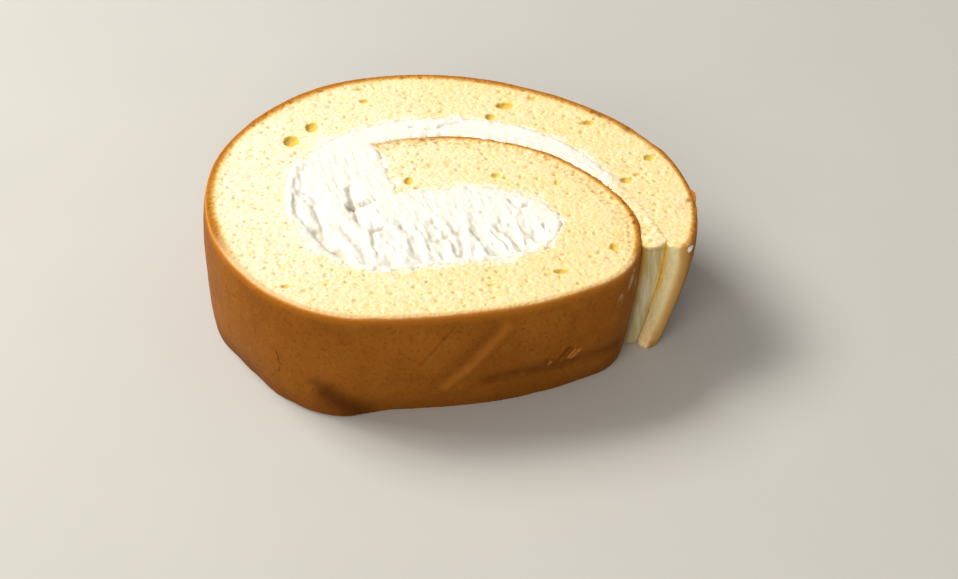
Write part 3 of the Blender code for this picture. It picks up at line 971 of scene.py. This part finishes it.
def chip(wide, tall, lift, turn_deg, place, normal):
    """A chip of skin, held by the wall along one side and standing off it by lift along the other."""
    bpy.ops.mesh.primitive_plane_add(size=1.0)
    made = bpy.context.object
    bpy.ops.object.mode_set(mode="EDIT")
    bpy.ops.mesh.subdivide(number_cuts=7)
    bpy.ops.object.mode_set(mode="OBJECT")
    points = points_of(made)
    x, y = points[:, 0], points[:, 1]
    narrowed = 1.0 - 0.25 * abs(2.0 * y) ** 4.0
    ragged = narrowed + 0.16 * np.sin(9.0 * y + wide / MM) + 0.08 * np.sin(23.0 * y)
    points[:, 2] = lift * (0.5 - x) ** 2.0 * (1.0 - 0.5 * abs(2.0 * y) ** 2.0) - 0.15 * MM
    points[:, 0] = wide * x * ragged
    points[:, 1] = tall * (y + 0.12 * np.sin(7.0 * x))
    put_points(made, points)
    apply_modifier(made, "SOLIDIFY", thickness=SKIN_THICKNESS, offset=0.0)
    apply_modifier(made, "SUBSURF", levels=1, render_levels=1)
    made.data.transform(wall_frame(place, normal, turn_deg))
    made.data.shade_smooth()
    return made


def dab(wide, tall, thick, turn_deg, place, normal):
    """A dab of cream pressed on to the wall, made a metre wide and then brought to its size."""
    bpy.ops.mesh.primitive_ico_sphere_add(subdivisions=4, radius=0.5)
    made = bpy.context.object
    group = group_of(made, "all", np.ones(len(made.data.vertices)))
    press_in(made, cloud_texture("lumps", 350.0), 450.0, group, 0.5)
    made.data.transform(Matrix.Diagonal((wide, tall, thick, 1.0)))
    made.data.transform(wall_frame(place, normal, turn_deg))
    made.data.shade_smooth()
    return made


def joined(name, pieces):
    select_only(*pieces)
    bpy.ops.object.join()
    whole = bpy.context.object
    whole.name = whole.data.name = name
    return whole


def skin_finish():
    """Loose skin: brown outside, paler where it is torn."""
    look = Finish("torn skin")
    tone = look.mix(look.span(look.noise(1.2, 3.0), 0.4, 0.62), LOOSE_SKIN, TORN_SKIN)
    look.set(Base_Color=tone, Roughness=0.6, Normal=look.bump(look.noise(0.5, 3.0), 0.1))
    look.set(Specular_IOR_Level=0.15)
    return look.made


def on_rim(skin, rolled_deg):
    """A place just below the rim, and the way out and up from it."""
    place, normal = on_skin(skin, rolled_deg, RIM_LEVEL)
    return place - 0.3 * MM * normal, (normal + Vector((0.0, 0.0, 0.4))).normalized()


def make_torn_skin(skin):
    """Chips of skin that stand off the wall at the lower right, and flakes at the rim on the right."""
    flakes = [
        chip(wide * MM, tall * MM, lift * MM, turn, *on_rim(skin, rolled))
        for wide, tall, lift, turn, rolled in FLAKES
    ]
    chips = flakes + [
        chip(wide * MM, tall * MM, lift * MM, turn, *on_skin(skin, rolled, level))
        for wide, tall, lift, turn, rolled, level in CHIPS
    ]
    piece = joined("torn_skin", chips)
    piece.data.materials.append(skin_finish())
    return piece


def make_cream_dab(skin):
    wide, tall, thick, turn, rolled, level = DAB
    piece = dab(wide * MM, tall * MM, thick * MM, turn, *on_skin(skin, rolled, level))
    piece.name = piece.data.name = "cream_dab"
    for name in ("sunk_mm", "end", "wall"):
        record(piece, name, np.zeros(len(piece.data.vertices)))
    record(piece, "edge_mm", np.full(len(piece.data.vertices), 9.0))
    piece.data.materials.append(bpy.data.materials["whipped cream"])
    return piece


# The room

def make_floor():
    bpy.ops.mesh.primitive_plane_add(size=BOARD_SIZE)
    floor = bpy.context.object
    floor.name = "floor"
    floor.data.materials.append(floor_finish())


def area_light(name, place, size, power, colour):
    """A soft square light at this place that shines on the slice."""
    bpy.ops.object.light_add(type="AREA", location=place)
    lamp = bpy.context.object
    lamp.name = name
    lamp.data.size = size
    lamp.data.energy = power
    lamp.data.color = colour
    lamp.rotation_euler = (-Vector(place)).to_track_quat("-Z", "Y").to_euler()


def light_the_room():
    world = bpy.data.worlds.new("room")
    bpy.context.scene.world = world
    world.use_nodes = True
    background = world.node_tree.nodes["Background"]
    background.inputs["Color"].default_value = ROOM_COLOUR
    background.inputs["Strength"].default_value = ROOM_STRENGTH
    for light in LIGHTS:
        area_light(*light)
    bpy.context.scene.view_settings.view_transform = "Standard"


def aim_camera():
    """Looks along +Y and down on the slice."""
    tilt = math.radians(CAMERA_TILT_DEG)
    bpy.ops.object.camera_add(location=CAMERA_PLACE, rotation=(tilt, 0.0, 0.0))
    camera = bpy.context.object
    camera.data.sensor_width = 36.0
    camera.data.lens = CAMERA_LENS_MM
    camera.data.clip_start = 0.01
    bpy.context.scene.camera = camera


aim_camera()
light_the_room()
make_floor()
sponge, skin, walls = make_sponge(frame["nodes"]["cream"])
cream = make_cream(walls, skin)
torn_skin = make_torn_skin(skin)
dab_of_cream = make_cream_dab(skin)
slots = ((sponge, "sponge"), (cream, "cream"), (torn_skin, "sponge"), (dab_of_cream, "cream"))
for piece, slot in slots:
    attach(piece, "root")
